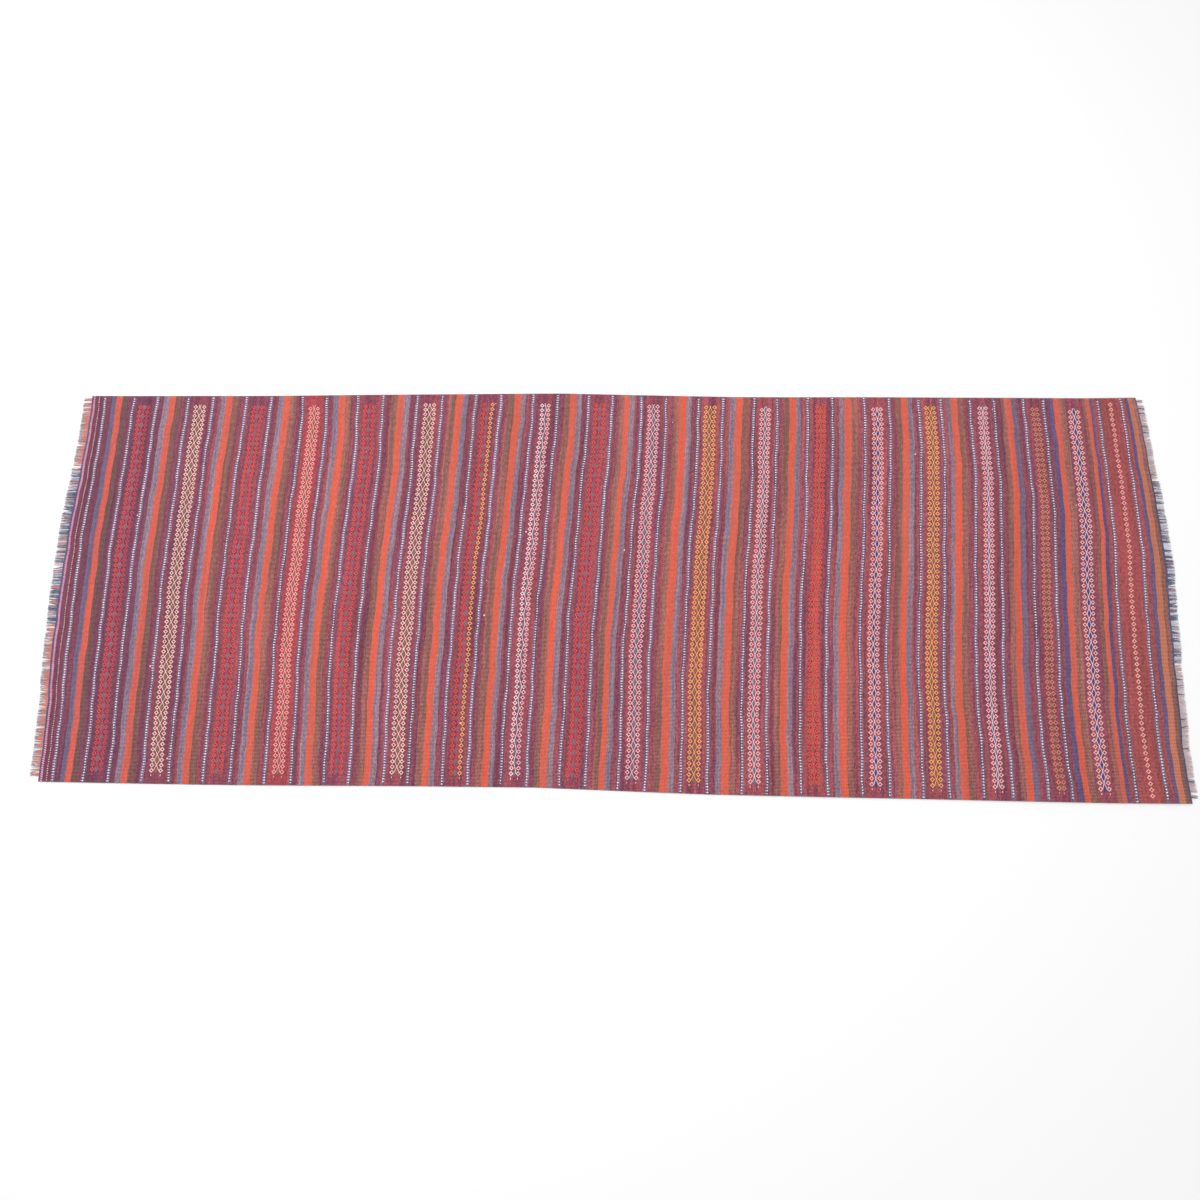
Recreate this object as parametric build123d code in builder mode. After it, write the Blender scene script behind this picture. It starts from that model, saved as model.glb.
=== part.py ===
from build123d import *
import os
from math import cos, pi, sin

# A flatwoven runner rug. Coloured wefts cross its warps and hide them, the stripes run across the
# rug, and the cut ends of the warps make a short fringe at both ends. All sizes are in millimetres.
# X runs along the rug, Y across it to the far edge and Z up from the floor. The origin is at the
# middle of the rug's box, on the floor.

# ---- overall sizes ----
woven_length = 2640.0        # from the first weft to the last, without the fringes
rug_width = 965.0            # from edge to edge
cloth_thickness = 3.0
fringe_length = 23.0         # cut warp ends past the last weft

# ---- wefts of the two ends, from each fringe inwards ----
end_line_width = 4.0
twined_line_width = 5.0
left_band_width = 49.0       # plain ground between the twined line and the first stripes
dashed_line_place = 13.0     # from the start of the left band to the middle of the line
dashed_line_width = 4.0
left_beaded_place = 29.0     # from the start of the left band to the middle of the line
left_slate_width = 12.0
left_orange_width = 15.0
left_brown_width = 13.0
left_ground_width = 32.0     # between the first brown stripe and the first brocade

last_ground_width = 11.0     # between the last brocade and the brown stripe after it
right_brown_width = 10.0
right_orange_width = 10.0
right_navy_width = 8.0
red_band_width = 94.0        # red ground that carries the single row of flowers
red_beaded_margins = (14.0, 15.0)    # from each side of the band to the middle of a beaded line
flower_row_width = 11.0      # the row runs along the middle of the band
edge_navy_width = 10.0
edge_tan_width = 14.0
edge_brown_width = 10.0

# ---- brocades and beaded lines ----
brocade_width = 26.0
narrow_brocade = 17          # this brocade is woven on fewer picks than the others
narrow_brocade_width = 18.0
brocade_thickness = 0.6      # how far the extra weft stands on the ground
brocade_stop = 10.0          # from the rug's long edges to the ends of the brocade
beaded_line_width = 9.0
beaded_line_depth = 0.6      # how deep the beaded wefts sit in the face of the ground

# ---- the weaver's draft ----
# One row for each group of stripes between two brocades, from left to right: the ground before the
# group, its three stripes in order, and the ground after it. The widths are as beaten by hand.
SLATE, ORANGE, BROWN, NAVY = "slate", "orange", "brown", "navy"
draft = [
    (34, (SLATE, 14), (ORANGE, 16), (BROWN, 14), 38),
    (38, (SLATE, 13), (ORANGE, 17), (BROWN, 16), 37),
    (37, (SLATE, 14), (ORANGE, 16), (BROWN, 16), 35),
    (36, (SLATE, 13), (ORANGE, 17), (BROWN, 14), 33),
    (39, (BROWN, 15), (ORANGE, 16), (SLATE, 14), 37),
    (33, (BROWN, 17), (ORANGE, 16), (SLATE, 13), 37),
    (33, (BROWN, 17), (ORANGE, 16), (SLATE, 12), 36),
    (33, (BROWN, 14), (ORANGE, 17), (SLATE, 13), 33),
    (33, (BROWN, 14), (ORANGE, 13), (SLATE, 13), 35),
    (36, (BROWN, 15), (ORANGE, 18), (SLATE, 13), 32),
    (36, (SLATE, 13), (ORANGE, 18), (BROWN, 14), 29),
    (33, (BROWN, 14), (ORANGE, 16), (SLATE, 12), 35),
    (33, (SLATE, 12), (ORANGE, 18), (BROWN, 14), 36),
    (34, (BROWN, 13), (ORANGE, 16), (SLATE, 12), 32),
    (29, (SLATE, 10), (ORANGE, 17), (BROWN, 14), 35),
    (34, (BROWN, 12), (ORANGE, 15), (SLATE, 13), 36),
    (27, (NAVY, 11), (ORANGE, 13), (BROWN, 16), 6),
]
brocade_count = len(draft) + 1

# ---- warps ----
warp_thickness = 0.9
selvedge_width = 8.0         # the bundle of outer warps that the wefts turn round
selvedge_inset = 9.0         # from the rug's straight edge line to that bundle
section_gap = 4.0            # wefts only, between two sections of warp
# Where the dark middle warps begin and end across the rug, at the left and the right fringe.
middle_warp_left = (-120.0, 285.0)
middle_warp_right = (-175.0, 265.0)

# ---- how the picks wander ----
# A hand loom doesn't beat straight. At each station along the rug, as a share of its length: how
# far a pick leans, how far it bows at both edges, how far it swings between them, and how far the
# whole width steps towards the far edge.
stations = [
    (0.00, -7.0, 15.0, 0.0, 0.0),
    (0.025, -6.0, 9.0, -1.0, 0.0),
    (0.16, 0.0, 9.0, -1.0, 0.0),
    (0.25, 0.0, 10.0, 6.0, 3.0),
    (0.34, 14.0, 7.0, 2.0, 6.0),
    (0.45, 24.0, 7.0, 2.0, 8.0),
    (0.60, 25.0, 6.0, 3.0, 0.0),
    (0.78, 24.0, 3.0, 6.0, -1.0),
    (0.90, 12.0, 1.0, 8.0, -2.0),
    (0.94, 9.0, 0.0, 8.0, -2.0),
    (0.975, 3.0, -5.0, 7.0, -1.0),
    (1.00, -5.0, -14.0, 6.0, 0.0),
]
pick_points = 13             # points that a pick's curve passes through

half_width = rug_width / 2
warp_bottom = (cloth_thickness - warp_thickness) / 2


def wander(x):
    """The lean, bow, swing and step at x, between the two nearest stations."""
    share = min(max(x / woven_length, 0.0), 1.0)
    for before, after in zip(stations, stations[1:]):
        if share <= after[0]:
            part_way = (share - before[0]) / (after[0] - before[0])
            return [a + (b - a) * part_way for a, b in zip(before[1:], after[1:])]
    return list(stations[-1][1:])


def drift(x, across):
    """How far the pick that starts at x lies from x, at -1 the near edge to 1 the far edge."""
    lean, bow, swing, step = wander(x)
    return lean * across + bow * (1 - cos(pi * across)) / 2 + swing * sin(pi * across)


# The box's middle, which is put at the origin.
shares = [i / 100 for i in range(-100, 101)]
left_tip = min(drift(-fringe_length, s) for s in shares) - fringe_length
right_tip = max(drift(woven_length + fringe_length, s) for s in shares) + woven_length + fringe_length
steps = [station[4] for station in stations]
middle_x = (left_tip + right_tip) / 2
middle_step = (max(steps) + min(steps)) / 2


def pick(x, stop=0.0):
    """Points on the curve of the pick at x, which ends short of the long edges by stop."""
    step = wander(x)[3] - middle_step
    points = []
    for i in range(pick_points):
        y = (half_width - stop) * (2 * i / (pick_points - 1) - 1)
        points.append((x - middle_x + drift(x, y / half_width), y + step))
    return points


def strip(start, end, stop=0.0):
    """Draws the cloth between the picks at start and end in the sketch that is open."""
    with BuildLine() as outline:
        first = Spline(*pick(start, stop))
        last = Spline(*pick(end, stop))
        Line(first @ 0, last @ 0)
        Line(first @ 1, last @ 1)
    make_face(outline.edges())


# ---- places of the stripes, from the draft ----
left_end_width = (end_line_width + twined_line_width + left_band_width + left_slate_width
                  + left_orange_width + left_brown_width)
right_end_width = (right_brown_width + right_orange_width + right_navy_width + red_band_width
                   + edge_navy_width + edge_tan_width + edge_brown_width + end_line_width)
brocade_widths = [brocade_width] * brocade_count
brocade_widths[narrow_brocade - 1] = narrow_brocade_width
stripes_width = sum(width for row in draft for colour, width in row[1:4])
drafted_ground = left_ground_width + sum(row[0] + row[4] for row in draft) + last_ground_width
free_length = woven_length - left_end_width - right_end_width - stripes_width - sum(brocade_widths)
# The ground takes up what the coloured stripes and the brocades leave of the length.
ground_stretch = free_length / drafted_ground

strips = {SLATE: [], ORANGE: [], BROWN: [], NAVY: []}
beaded_lines = []
ground_bands = []            # start, end and the beaded lines of each
brocades = []                # start and end of each


def centred(place, width):
    """The start and end of a line of this width, centred at place."""
    return (place - width / 2, place + width / 2)


def lay_stripe(colour, place, width):
    """Notes a stripe of this colour that starts at place, and says where it ends."""
    strips[colour].append((place, place + width))
    return place + width


def lay_brocade(width, place, ground_before, ground_after, beaded):
    """Notes a band of ground with a brocade along its middle, and says where it ends."""
    brocade_start = place + ground_before
    brocade_end = brocade_start + width
    band_end = brocade_end + ground_after
    lines = []
    if beaded:
        # Each beaded line runs halfway between the brocade and the next stripe.
        lines.append(centred((place + brocade_start) / 2, beaded_line_width))
        lines.append(centred((brocade_end + band_end) / 2, beaded_line_width))
    ground_bands.append((place, band_end, lines))
    beaded_lines.extend(lines)
    brocades.append((brocade_start, brocade_end))
    return band_end


end_line_left = (0.0, end_line_width)
twined_line = (end_line_left[1], end_line_left[1] + twined_line_width)
left_band = (twined_line[1], twined_line[1] + left_band_width)
dashed_line = centred(left_band[0] + dashed_line_place, dashed_line_width)
left_beaded_line = centred(left_band[0] + left_beaded_place, beaded_line_width)
beaded_lines.append(left_beaded_line)

reached = lay_stripe(SLATE, left_band[1], left_slate_width)
reached = lay_stripe(ORANGE, reached, left_orange_width)
reached = lay_stripe(BROWN, reached, left_brown_width)
ground_before = left_ground_width * ground_stretch
for number, row in enumerate(draft, start=1):
    width = brocade_widths[number - 1]
    reached = lay_brocade(width, reached, ground_before, row[0] * ground_stretch, beaded=True)
    for colour, stripe_width in row[1:4]:
        reached = lay_stripe(colour, reached, stripe_width)
    ground_before = row[4] * ground_stretch
# The last brocade stands close between its stripes, with no beaded lines.
reached = lay_brocade(brocade_widths[-1], reached, ground_before, last_ground_width * ground_stretch,
                      beaded=False)
reached = lay_stripe(BROWN, reached, right_brown_width)
reached = lay_stripe(ORANGE, reached, right_orange_width)
reached = lay_stripe(NAVY, reached, right_navy_width)

red_band = (reached, reached + red_band_width)
red_beaded_lines = [centred(red_band[0] + red_beaded_margins[0], beaded_line_width),
                    centred(red_band[1] - red_beaded_margins[1], beaded_line_width)]
beaded_lines.extend(red_beaded_lines)
flower_row = centred((red_band[0] + red_band[1]) / 2, flower_row_width)
reached = lay_stripe(NAVY, red_band[1], edge_navy_width)
tan_stripe = (reached, reached + edge_tan_width)
reached = lay_stripe(BROWN, tan_stripe[1], edge_brown_width)
end_line_right = (reached, reached + end_line_width)

# ---- warps, as quadrilaterals that run the whole length ----
left_x = -middle_x - 2 * fringe_length
right_x = woven_length - middle_x + 2 * fringe_length
inner_selvedge = half_width - selvedge_inset - selvedge_width
outer_warp = inner_selvedge - section_gap
near_left, far_left = middle_warp_left
near_right, far_right = middle_warp_right
# Each is its near and far side at the left end, then at the right end.
warps = {
    "selvedge_warp_near": (-inner_selvedge - selvedge_width, -inner_selvedge,
                           -inner_selvedge - selvedge_width, -inner_selvedge),
    "warp_near": (-outer_warp, near_left - section_gap, -outer_warp, near_right - section_gap),
    "warp_middle": (near_left, far_left, near_right, far_right),
    "warp_far": (far_left + section_gap, outer_warp, far_right + section_gap, outer_warp),
    "selvedge_warp_far": (inner_selvedge, inner_selvedge + selvedge_width,
                          inner_selvedge, inner_selvedge + selvedge_width),
}


def warp_outline(sides, mode=Mode.ADD):
    """Draws one section of warp in the sketch that is open."""
    near_start, far_start, near_end, far_end = sides
    with BuildLine() as outline:
        Polyline((left_x, near_start), (right_x, near_end), (right_x, far_end), (left_x, far_start),
                 close=True)
    make_face(outline.edges(), mode=mode)


def warp_slots():
    """Cuts the tunnels that the warps run through out of the part that is open."""
    with BuildSketch(Plane.XY.offset(warp_bottom)) as slots:
        for sides in warps.values():
            warp_outline(sides)
    extrude(slots.sketch, amount=warp_thickness, mode=Mode.SUBTRACT)


def line_grooves(lines):
    """Cuts the beds of the beaded and dashed lines out of the part that is open."""
    for start, end in lines:
        with BuildSketch(Plane.XY.offset(cloth_thickness - beaded_line_depth)) as bed:
            strip(start, end)
        extrude(bed.sketch, amount=beaded_line_depth, mode=Mode.SUBTRACT)


def write(piece, name):
    """Labels a finished piece and writes it under the same name."""
    piece.label = name
    export_step(piece, f"parts/{name}.step")


os.makedirs("parts", exist_ok=True)

# Ground cloth, in bands that each carry one brocade, and the plain bands of the two ends.
bands = [(f"ground_band_{number:02d}", start, end, lines)
         for number, (start, end, lines) in enumerate(ground_bands, start=1)]
bands.append(("left_end_band", *left_band, [dashed_line, left_beaded_line]))
bands.append(("red_end_band", *red_band, red_beaded_lines))
for name, start, end, lines in bands:
    with BuildPart() as ground_band:
        with BuildSketch():
            strip(start, end)
        extrude(amount=cloth_thickness)
        line_grooves(lines)
        warp_slots()
    write(ground_band.part, name)

# Coloured stripes and end lines, each a full thickness of wefts round the warps.
stripe_nodes = {f"{colour}_stripes": places for colour, places in strips.items()}
stripe_nodes["tan_stripe"] = [tan_stripe]
stripe_nodes["twined_line"] = [twined_line]
stripe_nodes["end_line_left"] = [end_line_left]
stripe_nodes["end_line_right"] = [end_line_right]
for name, places in stripe_nodes.items():
    with BuildPart() as weft_stripes:
        with BuildSketch():
            for start, end in places:
                strip(start, end)
        extrude(amount=cloth_thickness)
        warp_slots()
    write(weft_stripes.part, name)

# Beaded and dashed lines: two-coloured wefts that lie in the face of the ground.
for name, places in {"beaded_lines": beaded_lines, "dashed_line": [dashed_line]}.items():
    with BuildPart() as face_lines:
        with BuildSketch(Plane.XY.offset(cloth_thickness - beaded_line_depth)):
            for start, end in places:
                strip(start, end)
        extrude(amount=beaded_line_depth)
    write(face_lines.part, name)

# Brocades and the flower row: extra wefts on top of the ground.
raised = {f"brocade_{number:02d}": place for number, place in enumerate(brocades, start=1)}
raised["flower_row"] = flower_row
for name, (start, end) in raised.items():
    with BuildPart() as extra_weft:
        with BuildSketch(Plane.XY.offset(cloth_thickness)):
            strip(start, end, stop=brocade_stop)
        extrude(amount=brocade_thickness)
    write(extra_weft.part, name)

# Warps: flat sections of yarn through the middle of the cloth, with their cut ends as the fringes.
for name, sides in warps.items():
    with BuildPart() as warp:
        with BuildSketch(Plane.XY.offset(warp_bottom)):
            strip(-fringe_length, woven_length + fringe_length)
            warp_outline(sides, mode=Mode.INTERSECT)
        extrude(amount=warp_thickness)
    write(warp.part, name)
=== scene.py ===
"""A flatwoven runner rug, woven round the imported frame: ground bands, coloured stripes, beaded
lines, brocades of extra weft, and the warps whose cut ends are the fringe. Sizes are in metres.
X runs along the rug, Y across it, and `across` is a place on a pick, -1 near to 1 far."""

from math import pi, radians

import bpy
import numpy as np
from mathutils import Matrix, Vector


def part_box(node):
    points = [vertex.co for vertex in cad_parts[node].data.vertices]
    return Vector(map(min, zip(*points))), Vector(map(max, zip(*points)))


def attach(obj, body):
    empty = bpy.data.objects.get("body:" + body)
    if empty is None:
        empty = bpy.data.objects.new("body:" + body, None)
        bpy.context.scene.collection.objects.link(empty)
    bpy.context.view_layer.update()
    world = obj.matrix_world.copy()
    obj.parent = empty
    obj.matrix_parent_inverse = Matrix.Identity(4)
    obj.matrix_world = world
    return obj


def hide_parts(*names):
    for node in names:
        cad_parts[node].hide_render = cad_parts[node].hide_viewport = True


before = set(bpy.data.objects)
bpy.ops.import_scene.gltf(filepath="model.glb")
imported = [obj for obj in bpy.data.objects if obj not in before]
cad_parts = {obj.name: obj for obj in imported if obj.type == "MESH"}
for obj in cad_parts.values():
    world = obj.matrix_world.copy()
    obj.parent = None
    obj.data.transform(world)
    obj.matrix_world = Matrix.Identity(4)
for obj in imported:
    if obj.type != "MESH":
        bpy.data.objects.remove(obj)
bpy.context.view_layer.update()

bl_info = {
    "name": "Runner Rug",
    "version": (1, 0, 0),
    "blender": (4, 5, 0),
    "location": "View3D > Sidebar > Rug",
    "description": "Weaves a striped and brocaded flatweave runner round its packed frame",
    "category": "Object",
}

WEAVE = "weave"              # the UV map whose U runs along the picks and V along the rug
DYE = "dye"                  # the colour that a warp's threads carry along their length
ROOT = "root"

# ---- what the frame says ----
CLOTH_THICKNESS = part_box("left_end_band")[1][2]
RIGHT_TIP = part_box("warp_middle")[1][0]      # X of the fringe's tip at the right

GROUND_NODES = [f"ground_band_{number:02d}" for number in range(1, 19)]
BROCADE_NODES = [f"brocade_{number:02d}" for number in range(1, 19)]
STRIPES = {"slate": "slate_stripes", "navy": "navy_stripes", "orange": "orange_stripes",
           "brown": "brown_stripes", "tan": "tan_stripe"}


def dye_property(label, colour):
    """A colour property, whose default is given in shades from 0 to 255."""
    return bpy.props.FloatVectorProperty(
        name=label, description=f"Colour of the {label.lower()}", subtype="COLOR_GAMMA",
        size=3, min=0.0, max=1.0, default=[shade / 255 for shade in colour])


def length_property(label, about, default):
    return bpy.props.FloatProperty(
        name=label, description=about, default=default, min=0.0, unit="LENGTH", precision=5)


class RugCloth(bpy.types.PropertyGroup):
    """Sizes of the woven cloth."""
    warp_pitch: length_property("Warp pitch", "From one warp rib to the next", 0.0031)
    pick_pitch: length_property("Pick pitch", "From one weft to the next", 0.0011)
    rib_height: length_property("Rib height", "How far a rib stands out of its valleys", 0.0004)
    row_length: length_property("Row length", "Longest face along the rug", 0.011)
    edge_round: length_property("Edge round", "Radius of the wefts' turn at the edges", 0.0014)
    pile_depth: bpy.props.FloatProperty(
        name="Pile depth", description="Share of its colour that the pile gives back", default=0.98)
    seam_depth: length_property("Seam depth", "Dip where two colours meet", 0.00008)
    wave_height: length_property("Wave height", "How far the cloth lifts off the floor", 0.0022)
    pick_wander: length_property("Pick wander", "How far a pick strays by hand", 0.0024)


class RugStitches(bpy.types.PropertyGroup):
    """Sizes of the brocade's flowers and lines, and of the beads."""
    petal_length: length_property("Petal length", "Along a side of a flower's diamond", 0.0066)
    petal_width: length_property("Petal width", "Across a side of the diamond", 0.0023)
    knot_size: length_property("Knot size", "Of the knot on a flower's point", 0.0031)
    petal_reach: length_property("Petal reach", "To a petal's middle, each way", 0.0021)
    stitch_height: length_property("Stitch height", "Of a pad of extra weft", 0.0013)
    flower_half: length_property("Flower half", "From a flower's middle to the lines", 0.0047)
    line_width: length_property("Line width", "Of the brocade's crossing lines", 0.0015)
    lozenge_width: length_property("Lozenge width", "Between two crossing lines", 0.0092)
    bead_length: length_property("Bead length", "Along the picks", 0.0034)
    bead_width: length_property("Bead width", "Along the rug", 0.0046)
    single_share: bpy.props.FloatProperty(
        name="Single share", description="How seldom a beaded line is doubled", default=0.3)
    bed_depth: length_property("Bed depth", "Of a beaded line in the ground", 0.0006)
    bed_rise: length_property("Bed rise", "Of a beaded line over the ground", 0.00015)
    twine_pitch: length_property("Twine pitch", "From one twined stitch to the next", 0.0050)
    twine_width: length_property("Twine width", "Of a twined stitch along its slant", 0.0072)
    twine_height: length_property("Twine height", "Of a twined stitch", 0.0022)
    twine_shift: length_property("Twine shift", "Of the stitches towards the ground", 0.0012)
    dash_pitch: length_property("Dash pitch", "From one dash to the next", 0.0052)
    dash_length: length_property("Dash length", "Along the picks", 0.0032)
    dash_width: length_property("Dash width", "Along the rug", 0.0028)
    dash_height: length_property("Dash height", "Of a dash", 0.0012)
    closing_gap: length_property("Closing gap", "From a row's first flower to its dash", 0.011)
    closing_length: length_property("Closing length", "Of that dash along the picks", 0.0055)
    closing_width: length_property("Closing width", "Of that dash along the rug", 0.0024)
    least_reach: length_property("Least reach", "Of a crossing line to each side", 0.0022)
    near_stop: length_property("Near stop", "From the near edge to the first flower", 0.020)
    far_stop: length_property("Far stop", "From the far edge to the last flower", 0.015)
    seed: bpy.props.IntProperty(
        name="Seed", description="Picks the unevenness of the stitches", default=11)


class RugFringe(bpy.types.PropertyGroup):
    """Sizes of the warps' cut ends."""
    warp_width: length_property("Warp thickness", "Of a warp inside the cloth", 0.0011)
    hair_width: length_property("Hair thickness", "Of one frayed ply of a warp", 0.0010)
    hairs: bpy.props.IntProperty(
        name="Hairs", description="Plies that each warp frays into", default=3, min=1)
    left_end: length_property("Left end", "Length of the pale ends at the left", 0.0235)
    left_dark_end: length_property("Left dark end", "Length of the dark ones there", 0.0255)
    right_end: length_property("Right end", "Length of the pale ends at the right", 0.0165)
    right_dark_end: length_property("Right dark end", "Length of the dark ones there", 0.0185)
    seed: bpy.props.IntProperty(
        name="Seed", description="Picks how the hairs lie", default=5)


class RugYarns(bpy.types.PropertyGroup):
    """Colours of the yarns."""
    ground_left: dye_property("Ground at the left end", (140, 74, 92))
    ground_middle: dye_property("Ground in the middle", (179, 90, 98))
    ground_right: dye_property("Ground towards the right", (197, 99, 99))
    ground_red: dye_property("Red ground", (190, 82, 88))
    end_red: dye_property("Right end band", (198, 92, 98))
    slate_left: dye_property("First slate stripe", (118, 104, 138))
    slate: dye_property("Slate stripes", (180, 148, 158))
    navy: dye_property("Navy stripes", (132, 102, 134))
    orange_left: dye_property("First orange stripe", (204, 98, 92))
    orange: dye_property("Orange stripes", (216, 104, 88))
    brown_left: dye_property("First brown stripe", (124, 88, 97))
    brown: dye_property("Brown stripes", (206, 128, 120))
    tan: dye_property("Tan stripe", (214, 130, 106))
    maroon_heather: dye_property("Second shade of the ground", (120, 64, 97))
    red_heather: dye_property("Second shade of the red ground", (158, 61, 92))
    end_heather: dye_property("Second shade of the right end band", (153, 84, 79))
    slate_heather: dye_property("Second shade of the slate stripes", (128, 117, 143))
    navy_heather: dye_property("Second shade of the navy stripes", (94, 92, 143))
    orange_heather: dye_property("Second shade of the orange stripes", (240, 99, 71))
    brown_heather: dye_property("Second shade of the brown stripes", (140, 105, 94))
    tan_heather: dye_property("Second shade of the tan stripe", (224, 135, 99))
    dark_heather: dye_property("Second shade of the end lines", (87, 92, 128))
    twined_heather: dye_property("Second shade of the twined ground", (77, 64, 115))
    bead_heather: dye_property("Second shade of the beaded lines", (153, 128, 153))
    twined_ground: dye_property("Twined line's ground", (140, 97, 133))
    twined: dye_property("Twined line", (228, 160, 190))
    dark_line: dye_property("End lines", (120, 112, 138))
    bead_ground: dye_property("Beaded lines' ground", (106, 80, 108))
    bead_mesh: dye_property("Outer beads", (190, 176, 196))
    dash_ground: dye_property("Dashed line's ground", (116, 62, 84))
    bead: dye_property("Beads", (252, 248, 250))
    dash: dye_property("Dashes", (255, 214, 208))
    red: dye_property("Red brocade", (236, 84, 68))
    crimson: dye_property("Crimson brocade", (212, 76, 84))
    cream: dye_property("Cream brocade", (252, 216, 200))
    salmon: dye_property("Salmon brocade", (252, 176, 168))
    white: dye_property("White brocade", (250, 228, 232))
    pink: dye_property("Pink brocade", (252, 196, 198))
    gold: dye_property("Gold brocade", (254, 184, 104))
    orange_brocade: dye_property("Orange brocade", (244, 86, 62))
    terracotta: dye_property("Terracotta brocade", (230, 140, 110))
    lilac: dye_property("Lilac lines", (236, 208, 220))
    grey: dye_property("Grey lozenges", (112, 106, 122))
    olive: dye_property("Olive lozenges", (134, 100, 80))
    indigo: dye_property("Indigo lozenges", (66, 64, 118))
    salmon_warp: dye_property("Salmon warps", (228, 132, 112))
    faded_warp: dye_property("Faded warp ends", (170, 140, 148))
    pale_warp: dye_property("Pale warps", (214, 190, 192))
    dark_warp: dye_property("Dark warps", (96, 98, 130))
    white_warp: dye_property("White warps", (216, 214, 226))


class RugStage(bpy.types.PropertyGroup):
    """The floor, the lights and the camera."""
    floor: dye_property("Floor", (244, 244, 244))
    key_power: bpy.props.FloatProperty(
        name="Key light", description="Power of the large soft light", default=60.0, unit="POWER")
    sky: bpy.props.FloatProperty(
        name="Sky", description="Strength of the even light all round", default=0.8, min=0.0)
    lens: bpy.props.FloatProperty(
        name="Lens", description="Focal length of the camera, in millimetres", default=24.0)
    eye: bpy.props.FloatVectorProperty(
        name="Eye", description="Where the camera stands", subtype="TRANSLATION", unit="LENGTH",
        default=(0.0645, -0.4289, 1.8608))
    tilt: bpy.props.FloatVectorProperty(
        name="Tilt", description="How the camera is turned", subtype="EULER",
        default=(radians(11.808), radians(1.861), radians(1.015)))


# ---- the weaver's draft of the brocades, from left to right ----
# The yarn of the left flowers, of the right flowers, of the lines and of the lozenges between
# them, then the pitch of the flowers and the gap between their two rows in millimetres, and how
# the lines run.
BROCADES = [
    ("red", "crimson", "crimson", "grey", 12.2, 20.0, "crossing"),
    ("cream", "cream", "cream", "olive", 12.05, 22.0, "crossing"),
    ("red", "red", "crimson", "grey", 12.2, 19.5, "crossing"),
    ("salmon", "salmon", "salmon", "olive", 12.3, 18.5, "crossing"),
    ("red", "red", "crimson", "grey", 12.35, 21.0, "crossing"),
    ("cream", "cream", "cream", "olive", 12.4, 21.5, "crossing"),
    ("red", "gold", "crimson", "grey", 12.4, 20.0, "crossing"),
    ("white", "pink", "white", "grey", 12.35, 16.0, "zigzag"),
    ("red", "red", "crimson", "grey", 12.4, 20.0, "crossing"),
    ("pink", "pink", "lilac", "grey", 12.05, 20.5, "crossing"),
    ("gold", "gold", "gold", "olive", 12.4, 21.0, "crossing"),
    ("pink", "pink", "lilac", "grey", 12.5, 18.0, "crossing"),
    ("orange_brocade", "orange_brocade", "orange_brocade", "olive", 12.8, 16.5, "crossing"),
    ("pink", "pink", "lilac", "indigo", 12.7, 18.0, "crossing"),
    ("gold", "gold", "gold", "olive", 12.95, 18.5, "crossing"),
    ("pink", "pink", "lilac", "grey", 12.95, 15.5, "crossing"),
    ("terracotta", "terracotta", "olive", "olive", 13.1, 11.0, "zigzag"),
    ("pink", "pink", "lilac", "indigo", 13.2, 18.5, "crossing"),
]
FLOWER_ROW_PITCH = 0.0133
MILLIMETRE = 0.001

# Slow waves of the cloth off the floor: share of the wave height, lengths along and across the
# rug, and where each begins.
LIFTS = [(0.42, 0.83, 1.9, 0.4), (0.30, 0.41, -0.74, 2.1), (0.28, 1.30, 0.52, 4.0)]
# How the picks stray: share, lengths along and across the rug, and where each begins.
STRAYS = [(0.40, 0.71, 0.33, 1.1), (0.26, 0.29, 0.171, 2.7), (0.20, 0.173, 0.093, 0.2),
          (0.14, 0.31, -0.061, 3.9)]

# The cloths: their dye lots (X along the rug and the yarn there), the second shade spun into them
# and how uneven they are, with how much shade is painted into the valleys between the warp ribs.
CLOTHS = {
    "maroon_ground": (
        [(-1.30, "ground_left"), (-1.12, "ground_left"), (-0.98, "ground_middle"),
         (-0.10, "ground_middle"), (0.35, "ground_right"), (0.80, "ground_right"),
         (0.93, "ground_middle"), (1.15, "ground_middle")],
        "maroon_heather", {"heather_share": 0.3, "abrash": 0.8, "lint": 0.22}),
    "red_ground": ([(0.0, "ground_red")], "red_heather", {"heather_share": 0.15, "lint": 0.05}),
    "red_end_ground": ([(0.0, "end_red")], "end_heather", {"heather_share": 0.3, "lint": 0.05}),
    "slate_wool": (
        [(-1.26, "slate_left"), (-1.12, "slate"), (0.85, "slate"), (1.0, "navy")],
        "slate_heather", {"heather_share": 0.35, "speckle": 1.4}),
    "navy_wool": ([(0.0, "navy")], "navy_heather", {"heather_share": 0.4, "speckle": 1.4}),
    "orange_wool": (
        [(-1.25, "orange_left"), (-0.8, "orange"), (0.8, "orange"), (1.2, "orange")],
        "orange_heather",
        {"heather_share": 0.3, "streak": 0.35, "abrash": 0.3, "speckle": 0.8, "valley_shade": 0.4}),
    "brown_wool": (
        [(-1.24, "brown_left"), (-0.85, "brown"), (0.8, "brown"), (1.1, "brown")],
        "brown_heather", {"heather_share": 0.35, "speckle": 1.25, "valley_shade": 0.8}),
    "tan_wool": ([(0.0, "tan")], "tan_heather",
                 {"heather_share": 0.3, "streak": 0.4, "speckle": 0.5}),
    "dark_end_wool": ([(0.0, "dark_line")], "dark_heather", {"heather_share": 0.4}),
    "twined_bed_wool": ([(0.0, "twined_ground")], "twined_heather", {"heather_share": 0.4}),
    "beaded_bed_wool": ([(0.0, "bead_ground")], "bead_heather",
                        {"heather_share": 0.35, "speckle": 1.2}),
    "dashed_bed_wool": ([(0.0, "dash_ground")], None, {}),
}

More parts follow.
